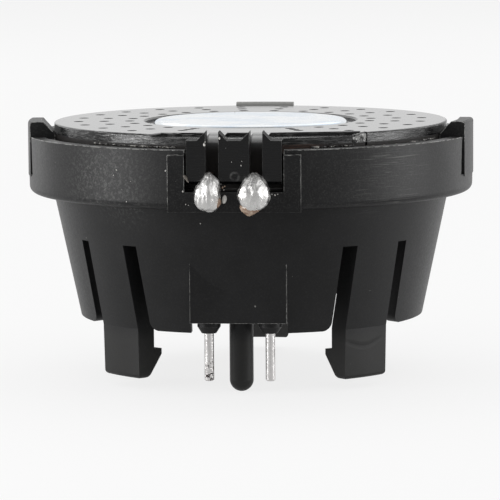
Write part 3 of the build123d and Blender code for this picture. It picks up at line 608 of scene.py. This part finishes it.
# ---------------------------------------------------------------- terminal pins
# The pins are drawn wire, hot-dip tinned: bright, with fine streaks along them. Near the left
# one's end the tin drew back and left small dark pits.
tinned_wire, tree, shader, mm = new_material("hot_dipped_tin")
where = put(tree, "SeparateXYZ", {0: mm})
drawn = put(tree, "VectorMath", {0: mm, 1: (6.0, 6.0, 0.8)}, operation="MULTIPLY")
streaks = put(tree, "TexNoise", {"Vector": drawn, "Scale": 1.0, "Detail": 5.0, "Roughness": 0.65})
lumps = put(tree, "TexNoise", {"Vector": mm, "Scale": 3.2, "Detail": 3.0})
pit_field = put(tree, "TexNoise", {"Vector": mm, "Scale": 3.6, "Detail": 5.0, "Roughness": 0.7})
pit_field = put(tree, "MapRange", {0: pit_field, 1: 0.52, 2: 0.57})
low = put(tree, "MapRange", {0: where.outputs["Z"], 1: -1.9, 2: -2.6})
left = put(tree, "MapRange", {0: where.outputs["X"], 1: -1.9, 2: -2.1})
pitted = put(tree, "Math", {0: low, 1: left}, operation="MULTIPLY")
pitted = put(tree, "Math", {0: pitted, 1: pit_field}, operation="MULTIPLY")
colour = put(tree, "Mix", {0: streaks, 6: linear("#f3efee"), 7: linear("#fdfcfb")}, data_type="RGBA")
colour = put(tree, "Mix", {0: pitted, 6: colour, 7: linear("#4a4443")}, data_type="RGBA")
gloss = put(tree, "MapRange", {0: streaks, 1: 0.3, 2: 0.7, 3: 0.16, 4: 0.32})
relief = put(tree, "Math", {0: lumps, 1: pitted}, operation="SUBTRACT")
bump = put(tree, "Bump", {"Strength": 0.35, "Distance": 0.05 * MM, "Height": relief})
fill(tree, shader, {"Base Color": colour, "Metallic": 1.0, "Roughness": gloss, "Normal": bump})
dress(nodes["terminal_pin_left"], tinned_wire)
dress(nodes["terminal_pin_right"], tinned_wire)

# ---------------------------------------------------------------- solder joints
# Each joint is a hand-soldered drop of tin-lead, drawn up to a neck where the iron left it. It
# froze in crumpled folds and is flat behind, where it wets the wall.


def grow_drop(name, middle, rings, sides=16):
    """A closed drop grown upwards ring by ring; each ring is (height, radius, shift to the right) in mm."""
    bpy.ops.object.select_all(action="DESELECT")
    height, radius, shift = rings[0]
    start = Vector((middle[0] + shift, middle[1], height)) * MM
    bpy.ops.mesh.primitive_circle_add(vertices=sides, radius=radius * MM, fill_type="NGON", location=start)
    piece = bpy.context.object
    piece.name = name
    bpy.ops.object.mode_set(mode="EDIT")
    bpy.ops.mesh.select_all(action="SELECT")
    for next_height, next_radius, next_shift in rings[1:]:
        rise = Vector((next_shift - shift, 0, next_height - height)) * MM
        start = start + rise
        growth = next_radius / radius
        bpy.ops.mesh.extrude_region_move(TRANSFORM_OT_translate={"value": rise})
        bpy.ops.transform.resize(value=(growth, growth, 1), center_override=start)
        height, radius, shift = next_height, next_radius, next_shift
    bpy.ops.mesh.select_all(action="SELECT")
    bpy.ops.mesh.remove_doubles(threshold=0.001 * MM)
    bpy.ops.mesh.normals_make_consistent(inside=False)
    bpy.ops.object.mode_set(mode="OBJECT")
    bpy.ops.object.transform_apply(location=True, rotation=True, scale=True)
    return piece


def round_off(piece, levels):
    """Subdivides the piece into a smooth surface."""
    rounding = piece.modifiers.new("rounding", "SUBSURF")
    rounding.levels = rounding.render_levels = levels
    bpy.ops.object.modifier_apply(modifier="rounding")


def crumple_up(piece, grain, depth, stretch=1.0):
    """Pushes the surface in and out by depth mm, in lumps of grain mm, drawn out upwards by stretch."""
    lumps = bpy.data.textures.new(piece.name + "_lumps", "CLOUDS")
    lumps.noise_scale = grain * MM
    guide = bpy.data.objects.new("guide", None)
    guide.scale = (1, 1, stretch)
    scene.collection.objects.link(guide)
    push = piece.modifiers.new("crumple", "DISPLACE")
    push.texture = lumps
    push.texture_coords = "OBJECT"
    push.texture_coords_object = guide
    push.strength = depth * MM
    push.mid_level = 0.5
    bpy.ops.object.modifier_apply(modifier="crumple")
    bpy.data.objects.remove(guide)


def cut_back(piece, level):
    """Cuts off what lies behind y = level mm and closes the cut."""
    bpy.ops.object.mode_set(mode="EDIT")
    bpy.ops.mesh.select_all(action="SELECT")
    bpy.ops.mesh.bisect(plane_co=(0, level * MM, 0), plane_no=(0, 1, 0), use_fill=True, clear_outer=True,
                        threshold=0.001 * MM)
    bpy.ops.object.mode_set(mode="OBJECT")


def finish_small(piece, material, slot, *replaced):
    """Shades a small piece, dresses it and hands it to the frame."""
    bpy.ops.object.shade_smooth_by_angle(angle=math.radians(50))
    dress(piece, material)
    if replaced:
        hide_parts(*replaced)
    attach(piece, "speaker_body")


solder_tin, tree, shader, mm = new_material("hand_soldered_tin")
where = put(tree, "SeparateXYZ", {0: mm})
drawn = put(tree, "VectorMath", {0: mm, 1: (1.9, 1.9, 0.7)}, operation="MULTIPLY")
skin = put(tree, "TexNoise", {"Vector": drawn, "Scale": 1.5, "Detail": 7.0, "Roughness": 0.62,
                              "Distortion": 0.8})
dull = put(tree, "MapRange", {0: skin, 1: 0.40, 2: 0.62})
colour = put(tree, "Mix", {0: dull, 6: linear("#fefdfb"), 7: linear("#efeeec")}, data_type="RGBA")
neck = put(tree, "MapRange", {0: where.outputs["Z"], 1: 13.25, 2: 13.75, 4: 0.8})
colour = put(tree, "Mix", {0: neck, 6: colour, 7: linear("#5d5b59")}, data_type="RGBA")
gloss = put(tree, "MapRange", {0: dull, 3: 0.18, 4: 0.46})
fine = put(tree, "TexNoise", {"Vector": drawn, "Scale": 5.0, "Detail": 5.0, "Roughness": 0.65})
bump = put(tree, "Bump", {"Strength": 0.5, "Distance": 0.06 * MM, "Height": fine})
fill(tree, shader, {"Base Color": colour, "Metallic": 1.0, "Roughness": gloss, "Normal": bump})

wall_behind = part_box("solder_joint_left")[1][1] / MM
joint_y = -19.85
left_x = -2.1
left_rings = (
    (10.66, 0.34, 0.20), (10.88, 0.72, 0.13), (11.15, 0.93, 0.06), (11.47, 1.05, 0.0), (11.80, 1.12, 0.0),
    (12.12, 1.13, 0.0), (12.45, 1.08, 0.02), (12.78, 0.97, 0.06), (13.08, 0.81, 0.14), (13.30, 0.66, 0.21),
    (13.50, 0.50, 0.21), (13.68, 0.40, 0.20), (13.84, 0.25, 0.18),
)
left_joint = grow_drop("solder_drop_left", (left_x, joint_y), left_rings)
round_off(left_joint, 3)
crumple_up(left_joint, 0.50, 0.22, 2.4)
crumple_up(left_joint, 0.28, 0.06, 2.5)
cut_back(left_joint, wall_behind)
finish_small(left_joint, solder_tin, "solder", "solder_joint_left")

right_x = 1.66
right_rings = (
    (10.72, 0.36, -0.12), (10.90, 0.78, -0.06), (11.15, 1.05, -0.02), (11.42, 1.22, 0.0), (11.74, 1.33, 0.0),
    (12.06, 1.37, 0.0), (12.38, 1.32, 0.0), (12.70, 1.20, 0.02), (13.02, 1.03, 0.05), (13.32, 0.82, 0.08),
    (13.55, 0.60, 0.06), (13.72, 0.42, 0.02), (13.85, 0.26, 0.0),
)
right_joint = grow_drop("solder_drop_right", (right_x, joint_y), right_rings)
round_off(right_joint, 3)
crumple_up(right_joint, 0.52, 0.24, 2.2)
crumple_up(right_joint, 0.28, 0.06, 2.5)
cut_back(right_joint, wall_behind)
finish_small(right_joint, solder_tin, "solder", "solder_joint_right")

# ---------------------------------------------------------------- flux
# Rosin flux from the soldering has run down and set as amber beads: a cap under the right drop, a
# film on the left drop's side, and a clear pearl and small crumbs between the two.
set_rosin, tree, shader, mm = new_material("set_rosin")
burnt = put(tree, "TexNoise", {"Vector": mm, "Scale": 1.3, "Detail": 4.0})
burnt = put(tree, "MapRange", {0: burnt, 1: 0.40, 2: 0.62})
colour = put(tree, "Mix", {0: burnt, 6: linear("#c8b39f"), 7: linear("#876a57")}, data_type="RGBA")
bump = put(tree, "Bump", {"Strength": 0.4, "Distance": 0.05 * MM, "Height": burnt})
fill(tree, shader, {"Base Color": colour, "Roughness": 0.12, "IOR": 1.53, "Coat Weight": 0.6,
                    "Normal": bump})

cap_rings = (
    (10.29, 0.10, -0.40), (10.42, 0.34, -0.35), (10.58, 0.60, -0.30), (10.74, 0.80, -0.27),
    (10.92, 0.92, -0.25), (11.10, 0.96, -0.24), (11.28, 0.88, -0.22), (11.40, 0.56, -0.20),
)
flux_cap = grow_drop("flux_cap", (right_x, joint_y + 0.10), cap_rings)
round_off(flux_cap, 2)
crumple_up(flux_cap, 0.6, 0.08)
cut_back(flux_cap, wall_behind)
finish_small(flux_cap, set_rosin, "solder")

film_rings = (
    (10.93, 0.06, -0.16), (11.03, 0.20, -0.10), (11.20, 0.29, -0.02), (11.42, 0.31, 0.05),
    (11.65, 0.25, 0.08), (11.84, 0.15, 0.06), (11.94, 0.05, 0.03),
)
flux_film = grow_drop("flux_film", (left_x + 0.83, joint_y - 0.30), film_rings, 12)
round_off(flux_film, 2)
crumple_up(flux_film, 0.4, 0.06)
finish_small(flux_film, set_rosin, "solder")

clear_rosin, tree, shader, mm = new_material("clear_rosin")
cloudy = put(tree, "TexNoise", {"Vector": mm, "Scale": 2.2, "Detail": 4.0})
colour = put(tree, "Mix", {0: cloudy, 6: linear("#bdbcb8"), 7: linear("#e3e1dc")}, data_type="RGBA")
fill(tree, shader, {"Base Color": colour, "Roughness": 0.15, "IOR": 1.53, "Subsurface Weight": 0.3,
                    "Subsurface Radius": (0.0002, 0.0002, 0.0002)})

pearl_rings = (
    (11.27, 0.06, -0.05), (11.36, 0.15, -0.03), (11.52, 0.21, 0.0), (11.70, 0.21, 0.02),
    (11.86, 0.16, 0.03), (11.98, 0.06, 0.03),
)
pearl = grow_drop("flux_pearl", (-0.76, -19.27), pearl_rings, 12)
round_off(pearl, 2)
cut_back(pearl, wall_behind)
finish_small(pearl, clear_rosin, "solder")

crumbs_at = ((-0.93, 12.55, 0.10), (-0.76, 12.66, 0.07), (-0.83, 12.36, 0.06), (-1.07, 12.84, 0.05))
for number, (crumb_x, crumb_z, size) in enumerate(crumbs_at):
    crumb_rings = ((crumb_z - size, size * 0.5, 0.0), (crumb_z - size / 3, size, 0.01),
                   (crumb_z + size / 2, size * 0.8, 0.02), (crumb_z + size, size * 0.3, 0.0))
    crumb = grow_drop(f"flux_crumb_{number + 1}", (crumb_x, -18.95), crumb_rings, 6)
    round_off(crumb, 1)
    finish_small(crumb, set_rosin if number < 2 else clear_rosin, "solder")

# ---------------------------------------------------------------- burr and glue
# A sliver of the holder's plastic has peeled at the notch's left edge. Clear glue was squeezed
# out of the gap between capsule and ring, and dried there as a broken row of beads, whose pale spots are
# painted glints.
peeled_pbt, tree, shader, mm = new_material("peeled_pbt")
frayed = put(tree, "TexNoise", {"Vector": mm, "Scale": 3.0, "Detail": 5.0})
frayed = put(tree, "MapRange", {0: frayed, 1: 0.35, 2: 0.65})
colour = put(tree, "Mix", {0: frayed, 6: linear("#5f5a54"), 7: linear("#a39b91")}, data_type="RGBA")
fill(tree, shader, {"Base Color": colour, "Roughness": 0.5})
burr_rings = (
    (12.92, 0.02, 0.0), (13.04, 0.06, -0.08), (13.17, 0.11, -0.16), (13.30, 0.16, -0.25),
    (13.42, 0.18, -0.32), (13.53, 0.14, -0.39), (13.59, 0.05, -0.43),
)
burr = grow_drop("burr", (-3.66, -19.0), burr_rings, 8)
round_off(burr, 2)
finish_small(burr, peeled_pbt, "holder_plastic")

dried_glue, tree, shader, mm = new_material("dried_glue")
# painted highlights: pale spots in the beads' dark colour stand for glints on their lumps
painted_glints = put(tree, "TexNoise", {"Vector": mm, "Scale": 2.0, "Detail": 4.0})
painted_glints = put(tree, "MapRange", {0: painted_glints, 1: 0.50, 2: 0.64})
colour = put(tree, "Mix", {0: painted_glints, 6: linear("#15110f"), 7: linear("#b9b6b0")}, data_type="RGBA")
fill(tree, shader, {"Base Color": colour, "Roughness": 0.08, "Coat Weight": 0.5})


def glue_bead(name, start, end, level):
    """A lumpy bead on the capsule's foot, from one azimuth to another, counted from the front."""
    bpy.ops.object.select_all(action="DESELECT")
    radius = 16.97
    turn = math.radians(start)
    bpy.ops.mesh.primitive_circle_add(
        vertices=8,
        radius=0.06 * MM,
        location=(radius * MM * math.sin(turn), -radius * MM * math.cos(turn), level * MM),
        rotation=(math.pi / 2, 0, math.pi / 2 + turn),
    )
    bead = bpy.context.object
    bead.name = name
    bpy.ops.object.transform_apply(location=True, rotation=True, scale=True)
    bpy.ops.object.mode_set(mode="EDIT")
    bpy.ops.mesh.select_all(action="SELECT")
    bpy.ops.mesh.spin(
        steps=(end - start) * 4, angle=math.radians(start - end), center=(0, 0, 0), axis=(0, 0, 1)
    )
    bpy.ops.mesh.select_all(action="DESELECT")
    bpy.ops.mesh.select_non_manifold()
    bpy.ops.mesh.fill()
    bpy.ops.mesh.select_all(action="SELECT")
    bpy.ops.mesh.normals_make_consistent(inside=False)
    bpy.ops.object.mode_set(mode="OBJECT")
    round_off(bead, 1)
    crumple_up(bead, 0.28, 0.26)
    finish_small(bead, dried_glue, "capsule_plastic")


glue_bead("glue_bead_left", -46, -17, 15.58)
glue_bead("glue_bead_right", 21, 34, 15.55)
glue_bead("glue_bead_slit", 35, 51, 15.38)
glue_bead("glue_bead_far", 55, 70, 15.46)

# A flake of clear glue has crumpled on the capsule's wall, beside its slit. Its pale patches are painted
# glints on the folds.
crumpled_glue, tree, shader, mm = new_material("crumpled_glue")
# painted highlights: pale patches on the flake's folds stand for glints
painted_fold_glints = put(tree, "TexNoise", {"Vector": mm, "Scale": 3.5, "Detail": 4.0, "Roughness": 0.7})
painted_fold_glints = put(tree, "MapRange", {0: painted_fold_glints, 1: 0.42, 2: 0.60})
colour = put(tree, "Mix", {0: painted_fold_glints, 6: linear("#2a2a2a"), 7: linear("#b9b9b7")}, data_type="RGBA")
fill(tree, shader, {"Base Color": colour, "Roughness": 0.16})

flake_turn = math.radians(36.0)
flake_radius = 16.93
flake_place = Vector((flake_radius * math.sin(flake_turn), -flake_radius * math.cos(flake_turn), 16.14)) * MM
bpy.ops.object.select_all(action="DESELECT")
bpy.ops.mesh.primitive_grid_add(
    x_subdivisions=28,
    y_subdivisions=12,
    size=1.0 * MM,
    location=flake_place,
    rotation=(math.pi / 2, 0, flake_turn),
)
flake = bpy.context.object
flake.name = "glue_flake"
flake.scale = (1.35, 0.72, 1.0)
bpy.ops.object.transform_apply(location=True, rotation=True, scale=True)
thicken(flake, 0.05)
round_off(flake, 1)
crumple_up(flake, 0.30, 0.24)
finish_small(flake, crumpled_glue, "capsule_plastic")

# ---------------------------------------------------------------- dust crumbs
# Coarse pale crumbs of dust and flux cling to the wall, the notch and the pot. Each is about a
# tenth to a quarter of a millimetre across.
pale_dust, tree, shader, mm = new_material("pale_dust")
shade = put(tree, "TexNoise", {"Vector": mm, "Scale": 6.0, "Detail": 3.0})
colour = put(tree, "Mix", {0: shade, 6: linear("#a8a5a0"), 7: linear("#f2f0ec")}, data_type="RGBA")
fill(tree, shader, {"Base Color": colour, "Roughness": 0.55})

dust_at = (
    (-1.15, -18.95, 16.55, 0.11), (-0.70, -18.10, 16.47, 0.10), (-2.38, -18.95, 16.02, 0.13),
    (-2.32, -18.93, 16.24, 0.06), (-1.98, 7.70, 16.70, 0.08), (-4.13, -19.12, 12.25, 0.08),
    (3.10, -19.12, 12.02, 0.05), (3.34, -19.12, 11.96, 0.07), (3.56, -19.12, 12.03, 0.05),
    (-5.62, -18.27, 13.86, 0.08), (0.59, -18.93, 14.33, 0.06), (0.65, -18.93, 14.68, 0.04),
    (-0.18, -18.93, 14.62, 0.04), (-3.92, -19.12, 11.20, 0.05), (-3.70, -19.12, 11.13, 0.04),
    (-2.96, -16.48, 9.35, 0.05), (-9.83, -16.40, 13.75, 0.07), (-8.99, -16.83, 11.20, 0.06),
    (-10.10, -16.20, 13.30, 0.05), (-8.60, -17.00, 12.90, 0.06),
)
for number, (dust_x, dust_y, dust_z, size) in enumerate(dust_at):
    lean = 0.25 * size * math.sin(5 * number)
    dust_rings = ((dust_z - size, size * 0.4, -lean), (dust_z - size / 3, size, 0.0),
                  (dust_z + size / 2, size * 0.75, lean), (dust_z + size, size * 0.3, 2 * lean))
    crumb = grow_drop(f"dust_crumb_{number + 1}", (dust_x, dust_y), dust_rings, 6)
    round_off(crumb, 1)
    finish_small(crumb, pale_dust, "holder_plastic")
